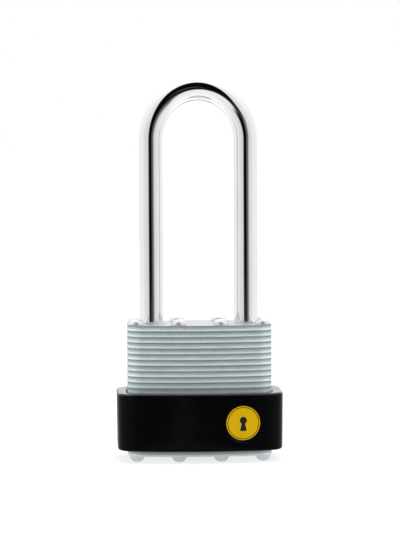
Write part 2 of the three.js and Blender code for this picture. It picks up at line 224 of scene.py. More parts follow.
def sweep(points, radius, n, up=(0, 0, 1)):
    """A round wire along points, with flat closed ends."""
    P = [Vector(p) for p in points]
    verts, faces = [], []
    side = None
    for i, p in enumerate(P):
        t = (P[min(i + 1, len(P) - 1)] - P[max(i - 1, 0)]).normalized()
        if side is None:
            side = t.cross(Vector(up))
            if side.length < 1e-6:
                side = t.cross(Vector((1, 0, 0)))
            side.normalize()
        side = (side - t * side.dot(t)).normalized()
        other = t.cross(side)
        for k in range(n):
            a = 2 * math.pi * k / n
            verts.append(tuple(p + radius * (math.cos(a) * side + math.sin(a) * other)))
    for i in range(len(P) - 1):
        for k in range(n):
            k1 = (k + 1) % n
            faces.append((i * n + k, i * n + k1, (i + 1) * n + k1, (i + 1) * n + k))
    faces.append(tuple(range(n))[::-1])
    faces.append(tuple(len(verts) - n + k for k in range(n)))
    return verts, faces


# ------------------------------------------------------------------ materials
def new_material(name):
    m = bpy.data.materials.new(name)
    m.use_nodes = True
    nt = m.node_tree
    nt.nodes.clear()
    out = nt.nodes.new("ShaderNodeOutputMaterial")
    bsdf = nt.nodes.new("ShaderNodeBsdfPrincipled")
    nt.links.new(bsdf.outputs[0], out.inputs[0])
    return m, nt, bsdf


class Net:
    """Short names for the nodes that the materials are built from."""

    def __init__(self, nt):
        self.nt = nt
        self.tc = nt.nodes.new("ShaderNodeTexCoord")

    def put(self, socket, value):
        if hasattr(value, "is_linked") or hasattr(value, "links"):
            self.nt.links.new(value, socket)
        else:
            socket.default_value = value

    def coords(self, scale=(1, 1, 1), rotation=(0, 0, 0), location=(0, 0, 0)):
        m = self.nt.nodes.new("ShaderNodeMapping")
        m.inputs["Scale"].default_value = scale
        m.inputs["Rotation"].default_value = rotation
        m.inputs["Location"].default_value = location
        self.nt.links.new(self.tc.outputs["Object"], m.inputs["Vector"])
        return m.outputs[0]

    def noise(self, vector, scale=1.0, detail=3.0, rough=0.5, distortion=0.0):
        n = self.nt.nodes.new("ShaderNodeTexNoise")
        n.inputs["Scale"].default_value = scale
        n.inputs["Detail"].default_value = detail
        n.inputs["Roughness"].default_value = rough
        n.inputs["Distortion"].default_value = distortion
        self.nt.links.new(vector, n.inputs["Vector"])
        return n.outputs["Fac"]

    def white(self, w):
        n = self.nt.nodes.new("ShaderNodeTexWhiteNoise")
        n.noise_dimensions = "1D"
        self.nt.links.new(w, n.inputs["W"])
        return n.outputs["Value"]

    def voronoi(self, vector, scale, feature="F1"):
        n = self.nt.nodes.new("ShaderNodeTexVoronoi")
        n.feature = feature
        n.inputs["Scale"].default_value = scale
        self.nt.links.new(vector, n.inputs["Vector"])
        return n.outputs["Distance"]

    def math(self, op, a, b=0.0, c=0.0, clamp=False):
        n = self.nt.nodes.new("ShaderNodeMath")
        n.operation = op
        n.use_clamp = clamp
        for k, v in enumerate((a, b, c)):
            if k < len(n.inputs):
                self.put(n.inputs[k], v)
        return n.outputs[0]

    def xyz(self, vector=None):
        n = self.nt.nodes.new("ShaderNodeSeparateXYZ")
        self.nt.links.new(vector if vector is not None else self.tc.outputs["Object"], n.inputs[0])
        return n.outputs

    def ramp(self, fac, stops, interpolation="LINEAR"):
        n = self.nt.nodes.new("ShaderNodeValToRGB")
        n.color_ramp.interpolation = interpolation
        e = n.color_ramp.elements
        while len(e) > 1:
            e.remove(e[-1])
        for k, (p, c) in enumerate(stops):
            el = e[0] if k == 0 else e.new(p)
            el.position = p
            el.color = (c, c, c, 1) if isinstance(c, (int, float)) else (*c, 1)
        self.nt.links.new(fac, n.inputs[0])
        return n.outputs[0]

    def mapr(self, v, a, b, c, d, smooth=False):
        n = self.nt.nodes.new("ShaderNodeMapRange")
        n.interpolation_type = "SMOOTHSTEP" if smooth else "LINEAR"
        n.clamp = True
        self.put(n.inputs["Value"], v)
        for k, x in zip(("From Min", "From Max", "To Min", "To Max"), (a, b, c, d)):
            self.put(n.inputs[k], x)
        return n.outputs[0]

    def mix(self, fac, a, b, blend="MIX"):
        n = self.nt.nodes.new("ShaderNodeMix")
        n.data_type = "RGBA"
        n.blend_type = blend
        self.put(n.inputs[0], fac)
        for s, v in ((n.inputs[6], a), (n.inputs[7], b)):
            self.put(s, (*v, 1) if isinstance(v, tuple) and len(v) == 3 else v)
        return n.outputs[2]

    def bump(self, height, strength, distance, normal=None):
        n = self.nt.nodes.new("ShaderNodeBump")
        n.inputs["Strength"].default_value = strength
        n.inputs["Distance"].default_value = distance
        self.nt.links.new(height, n.inputs["Height"])
        if normal is not None:
            self.nt.links.new(normal, n.inputs["Normal"])
        return n.outputs[0]

    def geometry(self, what):
        n = self.nt.nodes.new("ShaderNodeNewGeometry")
        return n.outputs[what]


def mat_plates():
    """Zinc-plated sheet, sheared at its edge: fine upright shear marks, painted shade in the seams where plates meet
    and towards each plate's top, a little tone from plate to plate.
    """
    m, nt, b = new_material("laminated_steel")
    N = Net(nt)
    x, y, z = N.xyz()
    lift = N.math("DIVIDE", N.math("SUBTRACT", z, Z0 * MM), PITCH * MM)
    index = N.math("FLOOR", N.math("ADD", lift, 0.012))
    phase = N.math("FRACT", N.math("ADD", lift, 0.012))
    tone = N.white(N.math("ADD", index, 0.37))
    shear = N.noise(N.coords((2600, 2600, 170)), 1.0, 3.0, 0.6)
    blotch = N.noise(N.coords((330, 330, 900)), 1.0, 4.0, 0.6)
    fine = N.noise(N.coords((5200, 5200, 5200)), 1.0, 2.0, 0.5)
    flat = N.math("ABSOLUTE", N.xyz(N.geometry("Normal"))[2])
    side = N.mapr(flat, 0.35, 0.75, 1.0, 0.0, True)
    streak = N.noise(N.coords((700, 700, 2400)), 1.0, 4.0, 0.62)
    wavy = N.noise(N.coords((300, 300, 640)), 1.0, 2.0, 0.5)
    phase = N.math("FRACT", N.math("ADD", phase, N.math("MULTIPLY", N.math("SUBTRACT", wavy, 0.5), 0.10)))
    # painted shade: the sheared sides are darkened in the seams between plates and more and more towards each plate's
    # top, standing in for the shade in the grooves between plates
    edge = N.ramp(phase, [(0.0, 0.16), (0.03, 0.55), (0.07, 1.0), (0.26, 1.0), (0.42, 0.82), (0.62, 0.60), (0.80, 0.50), (0.92, 0.30), (0.98, 0.13), (1.0, 0.10)])
    edge = N.mix(side, (1.0, 1.0, 1.0), edge)
    base = N.ramp(N.math("ADD", N.math("MULTIPLY", tone, 0.30), N.math("ADD", N.math("MULTIPLY", blotch, 0.30), N.math("MULTIPLY", streak, 0.40))),
                  [(0.28, (0.60, 0.70, 0.745)), (0.45, (0.76, 0.87, 0.915)), (0.62, (0.85, 0.965, 1.0)), (0.75, (0.92, 1.0, 1.0))])
    base = N.mix(N.mapr(shear, 0.35, 0.7, 0.0, 0.40), base, (0.96, 0.99, 1.0))
    base = N.mix(side, (0.66, 0.68, 0.69), base)
    # the painted seam shade multiplies the base colour
    N.put(b.inputs["Base Color"], N.mix(1.0, base, edge, "MULTIPLY"))
    b.inputs["Metallic"].default_value = 0.86
    rough = N.math("ADD", N.mapr(blotch, 0.3, 0.7, 0.50, 0.62), N.math("MULTIPLY", N.math("SUBTRACT", shear, 0.5), 0.20))
    N.put(b.inputs["Roughness"], rough)
    height = N.math("ADD", N.math("MULTIPLY", shear, side), N.math("MULTIPLY", fine, 0.35))
    N.put(b.inputs["Normal"], N.bump(height, 0.22, 0.00006))
    return m


def mat_rivets():
    m, nt, b = new_material("rivet_steel")
    N = Net(nt)
    patch = N.noise(N.coords((900, 900, 900)), 1.0, 4.0, 0.6)
    fine = N.noise(N.coords((5000, 5000, 5000)), 1.0, 3.0, 0.6)
    pits = N.voronoi(N.coords((2600, 2600, 2600)), 1.0)
    N.put(b.inputs["Base Color"], N.ramp(patch, [(0.3, (0.84, 0.86, 0.865)), (0.6, (0.92, 0.93, 0.935)), (0.8, (0.95, 0.955, 0.96))]))
    b.inputs["Metallic"].default_value = 1.0
    N.put(b.inputs["Roughness"], N.mapr(N.math("ADD", N.math("MULTIPLY", patch, 0.7), N.math("MULTIPLY", fine, 0.3)), 0.3, 0.7, 0.40, 0.52))
    N.put(b.inputs["Normal"], N.bump(N.math("ADD", fine, N.mapr(pits, 0.0, 0.25, -0.8, 0.0)), 0.18, 0.00004))
    return m


def mat_chrome():
    m, nt, b = new_material("shackle_chrome")
    N = Net(nt)
    haze = N.noise(N.coords((260, 260, 90)), 1.0, 4.0, 0.55)
    scratch = N.noise(N.coords((4200, 4200, 260), rotation=(0.05, 0.12, 0.2)), 1.0, 2.0, 0.6)
    N.put(b.inputs["Base Color"], N.ramp(haze, [(0.3, (0.845, 0.85, 0.865)), (0.7, (0.885, 0.89, 0.90))]))
    b.inputs["Metallic"].default_value = 1.0
    N.put(b.inputs["Roughness"], N.math("ADD", N.mapr(haze, 0.3, 0.75, 0.022, 0.050), N.mapr(scratch, 0.58, 0.8, 0.0, 0.04)))
    ripple = N.noise(N.coords((120, 120, 70)), 1.0, 2.0, 0.4)
    N.put(b.inputs["Normal"], N.bump(N.math("ADD", ripple, N.math("MULTIPLY", scratch, 0.02)), 0.05, 0.0004))
    return m


def mat_vinyl():
    """Glossy moulded black vinyl: a faint orange peel, hairline scuffs that only change the gloss, and a painted bluish
    sheen in the base colour of the up-facing rim.
    """
    m, nt, b = new_material("bumper_vinyl")
    N = Net(nt)
    peel = N.noise(N.coords((700, 700, 700)), 1.0, 2.0, 0.5)
    broad = N.noise(N.coords((110, 110, 150)), 1.0, 3.0, 0.5)
    scuff = N.noise(N.coords((900, 900, 4200), rotation=(0.3, 0.5, 0.2)), 1.0, 4.0, 0.65)
    dust = N.voronoi(N.coords((1500, 1500, 1500)), 1.0)
    N.put(b.inputs["Base Color"], N.ramp(broad, [(0.35, (0.0006, 0.0008, 0.0012)), (0.7, (0.0012, 0.0015, 0.0020))]))
    # painted sheen: faces that look upwards get a lighter bluish base colour, standing in for blue light reflected on
    # the rim; the same mask also raises the roughness a little
    top = N.mapr(N.xyz(N.geometry("Normal"))[2], 0.6, 0.9, 0.0, 1.0, True)
    N.put(b.inputs["Base Color"], N.mix(top, b.inputs["Base Color"].links[0].from_socket, (0.0075, 0.0125, 0.0160)))
    rough = N.math("ADD", N.mapr(broad, 0.3, 0.7, 0.10, 0.16), N.mapr(scuff, 0.60, 0.78, 0.0, 0.16))
    N.put(b.inputs["Roughness"], N.math("ADD", N.math("ADD", rough, N.math("MULTIPLY", top, 0.06)), N.mapr(dust, 0.0, 0.12, 0.10, 0.0)))
    b.inputs["IOR"].default_value = 1.5
    up = N.xyz(N.geometry("Normal"))[2]                # the rim shines more than the wall
    N.put(b.inputs["Specular IOR Level"], N.ramp(up, [(0.0, 0.05), (0.12, 0.05), (0.35, 0.50), (1.0, 0.50)]))
    N.put(b.inputs["Normal"], N.bump(peel, 0.08, 0.00006))
    return m


def mat_badge():
    """Semi-gloss yellow print on a round disc, with a plain keyhole sign in black and a thin black line near the rim."""
    m, nt, b = new_material("badge")
    N = Net(nt)
    lean = math.asin(BADGE_X / BOW)
    x, y, z = N.xyz()
    u = N.math("ADD", N.math("MULTIPLY", N.math("SUBTRACT", x, BADGE_X * MM), math.cos(lean)),
               N.math("MULTIPLY", N.math("SUBTRACT", y, -(BUMPER_D / 2 - BADGE_X ** 2 / (2 * BOW)) * MM), math.sin(lean)))
    v = N.math("SUBTRACT", z, BADGE_Z * MM)
    u, v = N.math("MULTIPLY", u, 1000), N.math("MULTIPLY", v, 1000)
    r = N.math("SQRT", N.math("ADD", N.math("MULTIPLY", u, u), N.math("MULTIPLY", v, v)))
    grain = N.noise(N.coords((3800, 3800, 3800)), 1.0, 2.0, 0.6)
    tone = N.noise(N.coords((260, 260, 260)), 1.0, 3.0, 0.5)
    # keyhole sign: a round head over a flaring stem
    vh = N.math("SUBTRACT", v, 0.75)
    head = N.math("SQRT", N.math("ADD", N.math("MULTIPLY", u, u), N.math("MULTIPLY", vh, vh)))
    in_head = N.mapr(head, 0.98, 1.04, 1.0, 0.0)
    half = N.mapr(v, -2.15, 0.4, 0.95, 0.38)
    in_stem = N.math("MULTIPLY", N.mapr(N.math("SUBTRACT", N.math("ABSOLUTE", u), half), -0.03, 0.03, 1.0, 0.0),
                     N.math("MULTIPLY", N.mapr(v, -2.2, -2.13, 0.0, 1.0), N.mapr(v, 0.5, 0.56, 1.0, 0.0)))
    sign = N.math("MAXIMUM", in_head, in_stem)
    line = N.math("MULTIPLY", N.mapr(r, 4.20, 4.25, 0.0, 1.0), N.mapr(r, 4.40, 4.45, 1.0, 0.0))
    ink = N.math("MAXIMUM", sign, line)
    ink = N.math("MULTIPLY", ink, N.mapr(grain, 0.25, 0.4, 0.9, 1.0))
    yellow = N.ramp(tone, [(0.3, (0.475, 0.288, 0.0003)), (0.7, (0.525, 0.320, 0.0006))])
    yellow = N.mix(N.mapr(r, 4.55, 4.8, 0.0, 0.55), yellow, (0.42, 0.26, 0.004))
    N.put(b.inputs["Base Color"], N.mix(ink, yellow, (0.012, 0.011, 0.010)))
    N.put(b.inputs["Roughness"], N.math("ADD", N.mapr(grain, 0.3, 0.7, 0.34, 0.42), N.math("MULTIPLY", ink, -0.08)))
    b.inputs["IOR"].default_value = 1.48
    b.inputs["Specular IOR Level"].default_value = 0.06
    N.put(b.inputs["Normal"], N.bump(N.math("ADD", N.math("MULTIPLY", grain, 0.3), ink), 0.15, 0.00002))
    return m


def mat_brass():
    m, nt, b = new_material("brass")
    N = Net(nt)
    x, y, z = N.xyz()
    rings = N.noise(N.coords((160, 160, 5200)), 1.0, 2.0, 0.5)
    radial = N.math("SQRT", N.math("ADD", N.math("MULTIPLY", x, x), N.math("MULTIPLY", y, y)))
    turned = N.math("SINE", N.math("MULTIPLY", radial, 42000))
    tarnish = N.noise(N.coords((420, 420, 420)), 1.0, 5.0, 0.62)
    flat = N.math("ABSOLUTE", N.xyz(N.geometry("Normal"))[2])
    face = N.mapr(flat, 0.7, 0.95, 0.0, 1.0)
    N.put(b.inputs["Base Color"], N.ramp(tarnish, [(0.30, (0.42, 0.28, 0.10)), (0.48, (0.68, 0.49, 0.21)), (0.75, (0.78, 0.60, 0.30))]))
    b.inputs["Metallic"].default_value = 1.0
    N.put(b.inputs["Roughness"], N.mapr(tarnish, 0.3, 0.7, 0.40, 0.24))
    h = N.math("ADD", N.math("MULTIPLY", N.math("MULTIPLY", turned, face), 0.25), N.math("MULTIPLY", rings, 0.6))
    N.put(b.inputs["Normal"], N.bump(h, 0.25, 0.00003))
    return m


def mat_hard_steel():
    m, nt, b = new_material("hard_steel")
    N = Net(nt)
    patch = N.noise(N.coords((500, 500, 500)), 1.0, 5.0, 0.6)
    grain = N.noise(N.coords((900, 5200, 2600)), 1.0, 2.0, 0.6)
    N.put(b.inputs["Base Color"], N.ramp(patch, [(0.3, (0.30, 0.31, 0.33)), (0.55, (0.47, 0.48, 0.50)), (0.75, (0.56, 0.57, 0.58))]))
    b.inputs["Metallic"].default_value = 1.0
    N.put(b.inputs["Roughness"], N.mapr(patch, 0.3, 0.7, 0.30, 0.48))
    N.put(b.inputs["Normal"], N.bump(grain, 0.2, 0.00004))
    return m


def mat_spring():
    m, nt, b = new_material("spring_steel")
    N = Net(nt)
    patch = N.noise(N.coords((1500, 1500, 1500)), 1.0, 4.0, 0.6)
    drawn = N.noise(N.coords((6000, 6000, 2500)), 1.0, 2.0, 0.5)
    N.put(b.inputs["Base Color"], N.ramp(patch, [(0.3, (0.40, 0.41, 0.42)), (0.7, (0.62, 0.63, 0.64))]))
    b.inputs["Metallic"].default_value = 1.0
    N.put(b.inputs["Roughness"], N.mapr(patch, 0.3, 0.7, 0.24, 0.38))
    N.put(b.inputs["Normal"], N.bump(drawn, 0.2, 0.00002))
    return m


PLATE_MAT, RIVET_MAT, CHROME, VINYL, BADGE, BRASS, HARD, SPRING = (
    mat_plates(), mat_rivets(), mat_chrome(), mat_vinyl(), mat_badge(), mat_brass(), mat_hard_steel(), mat_spring())
SLOT_MAT = {"laminated_steel": PLATE_MAT, "rivet_steel": RIVET_MAT, "shackle_chrome": CHROME, "bumper_vinyl": VINYL,
            "badge": BADGE, "brass": BRASS, "hard_steel": HARD, "spring_steel": SPRING}
for row in frame["record"]["subparts"]:
    o = NODES[row["node"]]
    o.data.materials.clear()
    o.data.materials.append(SLOT_MAT[row["material_slot"]])

# ------------------------------------------------------------------ the plate stack
rng = random.Random(40)
spots = [(sx * RIVET_X[k], side * RIVET_Y[k]) for side in (-1, 1) for sx, k in ((-1, 1), (-1, 0), (1, 0), (1, 1))]
BORE = BAR_R + 0.27
HOUSING_R, CHAMBER_X, CHAMBER_HALF = 6.45, 11.8, 2.85


def pocket():
    a0, out, n = math.asin(CHAMBER_HALF / HOUSING_R), [], 40
    for k in range(n + 1):
        a = a0 + (2 * math.pi - 2 * a0) * k / n
        out.append((HOUSING_R * math.cos(a), HOUSING_R * math.sin(a)))
    return out + [(CHAMBER_X, -CHAMBER_HALF), (CHAMBER_X, CHAMBER_HALF)]


def lever_cavity():
    slot, wx, wy, out = 2.4, 6.6, 4.3, []
    a = math.asin(slot / BORE)
    for k in range(25):
        t = -math.pi + a + (2 * math.pi - 2 * a) * k / 24
        out.append((LEG_X + BORE * math.cos(t), BORE * math.sin(t)))
    out += [(wx, slot), (wx, wy), (-wx, wy), (-wx, slot)]
    for k in range(25):
        t = a + (2 * math.pi - 2 * a) * k / 24
        out.append((-LEG_X + BORE * math.cos(t), BORE * math.sin(t)))
    return out + [(-wx, -slot), (-wx, -wy), (wx, -wy), (wx, -slot)]


def lugged_bore():
    x = -BAR_R + 0.8
    a = math.acos(x / BORE)
    return [(-LEG_X + BORE * math.cos(-a + 2 * a * k / 36), BORE * math.sin(-a + 2 * a * k / 36)) for k in range(37)]


def plate_holes(i):
    rivets = [circle(x, y, 1.52, 20) for x, y in spots]
    heel, toe = circle(-LEG_X, 0, BORE, 48), circle(LEG_X, 0, BORE, 48)
    if i == 1:
        return [circle(0, 0, 4.15, 56)] + rivets
    if i <= 13:
        return [heel, pocket()] + rivets
    if i <= 15:
        return [heel, circle(0, 0, 2.25, 28)] + rivets
    if i <= 17:
        return [heel, toe, circle(0, 0, 2.25, 28)] + rivets
    if i <= 19:
        return [lever_cavity()] + rivets
    if i == 22:
        return [lugged_bore(), toe] + rivets
    return [heel, toe] + rivets


for i in range(1, PLATES + 1):
    z, t = plate_z(i), PLATE_T
    trim = rng.uniform(0.0, 0.035)                     # the blanks are not quite alike
    roll = 0.20 + rng.uniform(-0.02, 0.03)             # rolled-over lower edge, sharper upper edge
    burr = 0.07 + rng.uniform(-0.015, 0.02)
    profile = []
    for k in range(6):
        a = math.pi / 2 * k / 5
        profile.append((roll * 0.75 * (1 - math.sin(a)), z + roll * (1 - math.cos(a))))
    profile += [(0.0, z + 0.62), (0.012, z + 0.70), (0.014, z + t - burr - 0.1)]
    for k in range(1, 5):
        a = math.pi / 2 * k / 4
        profile.append((0.014 + burr * 1.3 * (1 - math.cos(a)), z + t - burr + burr * math.sin(a)))
    rings = [(bowed_plan(trim + inset), zz) for inset, zz in profile]
    v, f = slab(rings, plate_holes(i), z, t, 0.10 if i < PLATES else 0.22)
    make("plate_%02d_fine" % i, v, f, 34, "lock_body", ["plate_%02d" % i], PLATE_MAT)

# ------------------------------------------------------------------ rivets
for k, (x, y) in enumerate(spots):
    seed = 10 * k
    low = [(0, 0.09), (0.30, 0.07), (0.52, 0.02), (0.70, 0.0), (0.95, 0.06), (1.25, 0.20), (1.52, 0.40), (1.76, 0.67), (1.95, 1.0), (2.08, 1.35), (2.12, 1.58), (2.08, HEAD_LOW - 0.04), (1.40, HEAD_LOW - 0.03)]
    t = TOP + 0.04
    dome = [(HEAD_R * math.sin(math.pi / 2 * (1 - q / 11)) ** 0.96, t + 0.10 + (HEAD_TOP - 0.14) * (1 - (1 - q / 11) ** 2.15)) for q in range(11)]
    high = [(1.40, t - 0.01), (HEAD_R - 0.06, t), (HEAD_R, t + 0.05)] + dome[1:] + [(0.30, t + HEAD_TOP - 0.045), (0.0, t + HEAD_TOP - 0.04)]
    wob = lambda a, z, s=seed: 0.010 * perlin(Vector((1.4 * math.cos(a) + s, 1.4 * math.sin(a), z * 0.6)))
    v, f = revolve(low + high, 48, (x, y), wob)
    lowest = min(p[2] for p in v)
    v = [(a, b, max(c, lowest)) for a, b, c in v]
    make("rivet_%d_fine" % (k + 1), v, f, 40, "lock_body", ["rivet_%d" % (k + 1)], RIVET_MAT)

# ------------------------------------------------------------------ bumper band, with its recess for the badge
LEAN = math.asin(BADGE_X / BOW)
SURF_Y = -(BUMPER_D / 2 - BADGE_X ** 2 / (2 * BOW))


def band():
    plan = dict(w=BUMPER_W, d=BUMPER_D, r=BUMPER_R, corner=20, front=44, side=6)
    inner = dict(w=BODY_W + 0.3, d=BODY_D + 0.3, r=BODY_R + 0.15, corner=20, front=44, side=6)
    taper = lambda z: 0.16 * (BUMPER_Z1 - z) / (BUMPER_Z1 - BUMPER_Z0)
    outer = []
    low, top = 0.7, 0.62
    for k in range(7):
        a = math.pi / 2 * k / 6
        z = BUMPER_Z0 + low * (1 - math.cos(a))
        outer.append((taper(z) + low * (1 - math.sin(a)), z))
    for z in (6.5, 9.0, 11.5, 14.0, 16.5):
        outer.append((taper(z), z))
    for k in range(10):
        a = math.pi / 2 * k / 9
        z = BUMPER_Z1 - top + top * math.sin(a)
        outer.append((taper(z) + top * (1 - math.cos(a)), z))
    rings = [(bowed_plan(i, **plan), z) for i, z in outer]
    inside = [(0.55, BUMPER_Z1 - 0.03), (0.25, BUMPER_Z1 - 0.10), (0.08, BUMPER_Z1 - 0.30), (0.0, BUMPER_Z1 - 0.60), (0.0, BUMPER_Z0 + 0.4), (0.12, BUMPER_Z0 + 0.12), (0.4, BUMPER_Z0)]
    rings += [(bowed_plan(-i, **inner), z) for i, z in inside]
    verts, faces = [], []
    n = len(rings[0][0])
    for pts, z in rings:
        verts += [(x, y, z) for x, y in pts]
    m = len(rings)
    for j in range(m):
        for k in range(n):
            k1, j1 = (k + 1) % n, (j + 1) % m
            faces.append((j * n + k, j * n + k1, j1 * n + k1, j1 * n + k))
    return verts, faces


v, f = band()
whole = make("bumper_whole", v, f, 50, material=VINYL)
# the recess is turned out of the front: a cutter with a rounded floor, then the band's own smooth normals are put back round it
cut_profile = [(0.0, 0.0), (RECESS_R - 0.22, 0.0), (RECESS_R - 0.09, 0.03), (RECESS_R - 0.02, 0.11), (RECESS_R, 0.24), (RECESS_R, 6.0), (0.0, 6.0)]
cv, cf = revolve(cut_profile, 96)
turn = Matrix.Translation(Vector((BADGE_X - (RECESS_DEPTH) * math.sin(LEAN), SURF_Y + RECESS_DEPTH * math.cos(LEAN), BADGE_Z))) @ Matrix.Rotation(LEAN, 4, "Z") @ Matrix.Rotation(math.pi / 2, 4, "X")
cv = [tuple(turn @ Vector(p)) for p in cv]
cutter = make("recess_cutter", cv, cf, 40, material=VINYL)
mod = whole.modifiers.new("recess", "BOOLEAN")
mod.operation, mod.solver, mod.object = "DIFFERENCE", "EXACT", cutter
bev = whole.modifiers.new("lip", "BEVEL")
bev.limit_method, bev.angle_limit, bev.width, bev.segments = "ANGLE", math.radians(55), 0.00016, 3
bev.harden_normals = False
bpy.context.view_layer.update()
cut = bpy.data.meshes.new_from_object(whole.evaluated_get(bpy.context.evaluated_depsgraph_get()))
cut.name = "bumper_band"
bpy.data.objects.remove(whole)
bpy.data.objects.remove(cutter)
bumper = bpy.data.objects.new("bumper_band", cut)
bpy.context.scene.collection.objects.link(bumper)
cut.materials.clear()
cut.materials.append(VINYL)
cut.polygons.foreach_set("use_smooth", [True] * len(cut.polygons))
cut.set_sharp_from_angle(angle=math.radians(50))


def wall_normal(x, y):
    """Plan normal of the band's outer wall at a point on it, and the point's distance from the wall, all in mm."""
    cx, by = BUMPER_W / 2 - BUMPER_R, BUMPER_D / 2 - BOW
    cy = by + math.sqrt((BOW - BUMPER_R) ** 2 - cx ** 2)
    ax, ay, sx, sy = abs(x), abs(y), math.copysign(1, x), math.copysign(1, y)
    if math.atan2(ax, ay - by) <= math.atan2(cx, cy - by):
        r = math.hypot(ax, ay - by)
        return Vector((sx * ax / r, sy * (ay - by) / r, 0)), r - BOW
    if ay > cy:
        r = math.hypot(ax - cx, ay - cy)
        return Vector((sx * (ax - cx) / r, sy * (ay - cy) / r, 0)), r - BUMPER_R
    return Vector((sx, 0, 0)), ax - BUMPER_W / 2


# the cut leaves long faces round the recess: the wall's own smooth normals are put back on them
normals = [(0.0, 0.0, 0.0)] * len(cut.loops)
for poly in cut.polygons:
    pts = [cut.vertices[i].co * 1000 for i in poly.vertices]
    if min(p.z for p in pts) < BUMPER_Z0 + 0.72 or max(p.z for p in pts) > BUMPER_Z1 - 0.60:
        continue
    found = [wall_normal(p.x, p.y) for p in pts]
    if max(abs(d + 0.16 * (BUMPER_Z1 - p.z) / (BUMPER_Z1 - BUMPER_Z0)) for (_, d), p in zip(found, pts)) > 0.02:
        continue
    if poly.normal.dot(found[0][0]) < 0.9:
        continue
    for loop, (nrm, _) in zip(poly.loop_indices, found):
        normals[loop] = tuple(Vector((nrm.x, nrm.y, -0.0097)).normalized())
cut.normals_split_custom_set(normals)
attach(bumper, "lock_body")
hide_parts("bumper")

# ------------------------------------------------------------------ badge disc
prof = [(0.0, 0.03), (BADGE_R - 0.05, 0.03), (BADGE_R, 0.07), (BADGE_R, 0.30), (BADGE_R - 0.04, 0.36), (BADGE_R - 0.13, 0.40), (BADGE_R - 0.26, 0.415), (BADGE_R - 0.40, 0.405), (BADGE_R - 0.52, 0.385), (3.0, 0.385), (1.5, 0.385), (0.0, 0.385)]
dv, df = revolve(prof, 96)
dv = [tuple(turn @ Vector(p)) for p in dv]
make("badge_disc_fine", dv, df, 40, "lock_body", ["badge_disc"], BADGE)

# ------------------------------------------------------------------ shackle: one bar, stacked sections on the legs, a round bow
def shackle_mesh():
    N = 96
    verts, faces, rows = [], [], []

    def section(r, cut=None):
        """Radii round the bar; cut = (direction in the bow's plane, distance of a flat from the axis)."""
        out = []
        for k in range(N):
            a = 2 * math.pi * k / N
            rr = r
            if cut:
                c = math.cos(a) * cut[0]
                if c > 1e-6 and r * c > cut[1]:
                    rr = cut[1] / c
            out.append(rr)
        return out

    def ring_at(origin, side, radii):
        """side: unit vector in the XZ plane pointing away from the bow's middle; the other axis is Y."""
        s = len(verts)
        for k, r in enumerate(radii):
            a = 2 * math.pi * k / N
            verts.append((origin[0] + r * math.cos(a) * side[0], r * math.sin(a), origin[2] + r * math.cos(a) * side[2]))
        rows.append(s)

    lowz, highz = plate_z(18), plate_z(19)
    R = BAR_R
    heel = [(HEEL_TIP, R - 0.62, None), (HEEL_TIP + 0.10, R - 0.48, None), (HEEL_TIP + 0.6, R - 0.04, None), (HEEL_TIP + 0.7, R, None), (FOOT_TOP - 0.12, R, None), (FOOT_TOP, R - 0.12, None),
            (FOOT_TOP + 0.02, R - 0.98, None), (FOOT_TOP + 0.10, R - 1.0, None), (22.50, R - 1.0, None), (22.58, R - 0.96, None), (22.60, R - 0.12, (1, R - 1.0)), (22.72, R, (1, R - 1.0)),
            (lowz - 0.26, R, (1, R - 1.0)), (lowz - 0.20, R - 0.03, "both"), (lowz + PLATE_T + 0.25, R - 0.03, "both"), (lowz + PLATE_T + 0.31, R, (1, R - 1.0)),
            (36.55, R, (1, R - 1.0)), (36.62, R, (1, R - 0.9)), (36.66, R, (1, R - 0.10)), (36.74, R, None)]
    for z in (38, 40, 44, 50, 58, 66, 74, 82, 87):
        heel.append((z, R, None))
    side = (-1, 0, 0)
    for z, r, cut in heel:
        if cut == "both":
            a = section(r, (1, R - 1.0))
            b = section(r, (-1, NOTCH_AXIS))
            radii = [min(p, q) for p, q in zip(a, b)]
        else:
            radii = section(r, cut)
        ring_at((-LEG_X, 0, z), side, radii)
    steps = 72
    for k in range(steps + 1):
        a = math.pi * k / steps
        d = Vector((-BOW_RISE * math.cos(a), 0, LEG_X * math.sin(a))).normalized()
        ring_at((-LEG_X * math.cos(a), 0, BOW_Z + BOW_RISE * math.sin(a)), d, section(R))
    toe = [(87, R, None), (82, R, None), (74, R, None), (66, R, None), (58, R, None), (50, R, None), (44, R, None), (40, R, None), (38, R, None), (34, R, None),
           (highz + PLATE_T + 0.31, R, None), (highz + PLATE_T + 0.25, R - 0.03, (-1, NOTCH_AXIS)), (highz - 0.20, R - 0.03, (-1, NOTCH_AXIS)), (highz - 0.26, R, None),
           (TOE_TIP + 0.90, R, None), (TOE_TIP + 0.80, R - 0.03, None), (TOE_TIP + 0.12, R - 0.68, None), (TOE_TIP, R - 0.84, None)]
    side = (1, 0, 0)
    for z, r, cut in toe:
        ring_at((LEG_X, 0, z), side, section(r, cut))
    for a, b in zip(rows, rows[1:]):
        for k in range(N):
            k1 = (k + 1) % N
            faces.append((a + k, b + k, b + k1, a + k1))
    for s, flip in ((rows[0], False), (rows[-1], True)):
        c = len(verts)
        verts.append(tuple(sum(verts[s + k][j] for k in range(N)) / N for j in range(3)))
        for k in range(N):
            k1 = (k + 1) % N
            faces.append((c, s + k, s + k1) if not flip else (c, s + k1, s + k))
    return verts, faces


v, f = shackle_mesh()
P = np.array(v)
vol = 0.0
for q in f:
    a = P[q[0]]
    for j in range(1, len(q) - 1):
        vol += np.dot(a, np.cross(P[q[j]], P[q[j + 1]])) / 6
if vol < 0:
    f = [tuple(reversed(q)) for q in f]
make("shackle_bar", v, f, 30, "shackle", ["shackle"], CHROME)

